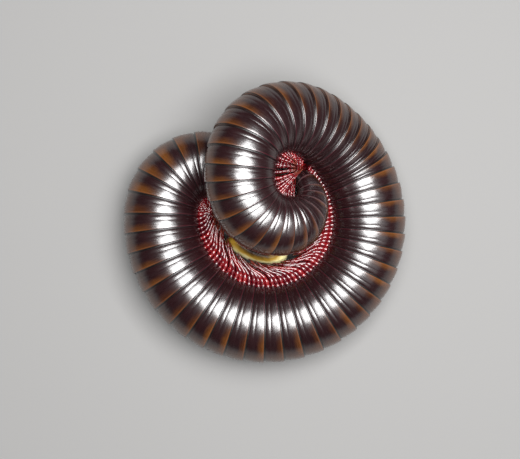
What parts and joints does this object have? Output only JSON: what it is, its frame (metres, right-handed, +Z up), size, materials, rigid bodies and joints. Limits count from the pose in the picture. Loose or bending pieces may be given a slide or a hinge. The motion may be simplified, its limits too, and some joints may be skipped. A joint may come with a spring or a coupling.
{
  "type": "giant african millipede",
  "caption": "Large glossy brown millipede at rest, curled up on its side in a tight spiral with its tail coiled on top and rows of red legs facing inwards.",
  "frame": {"origin": "on the floor under the middle of the coil's box", "axes": "+Z up out of the coil's upper flank; +Y towards the side of the raised tail coil; +X to the right of that"},
  "size_m": [0.0674, 0.0662, 0.0346],
  "materials": {
    "ring_shell": "gloss",
    "collum_shell": "gloss",
    "head_shell": "gloss",
    "eye": "gloss",
    "limb": "gloss"
  },
  "bodies": {
    "root": {"antenna_left": "limb", "antenna_right": "limb", "body_01": "ring_shell", "body_02": "ring_shell", "body_03": "ring_shell", "body_04": "ring_shell", "body_05": "ring_shell", "body_06": "ring_shell", "body_07": "ring_shell", "body_08": "ring_shell", "body_09": "ring_shell", "body_10": "ring_shell", "body_11": "ring_shell", "body_12": "ring_shell", "body_13": "ring_shell", "body_14": "ring_shell", "body_15": "ring_shell", "collum": "collum_shell", "eye_left": "eye", "eye_right": "eye", "head": "head_shell", "tail_end": "ring_shell"}
  },
  "joints": []
}
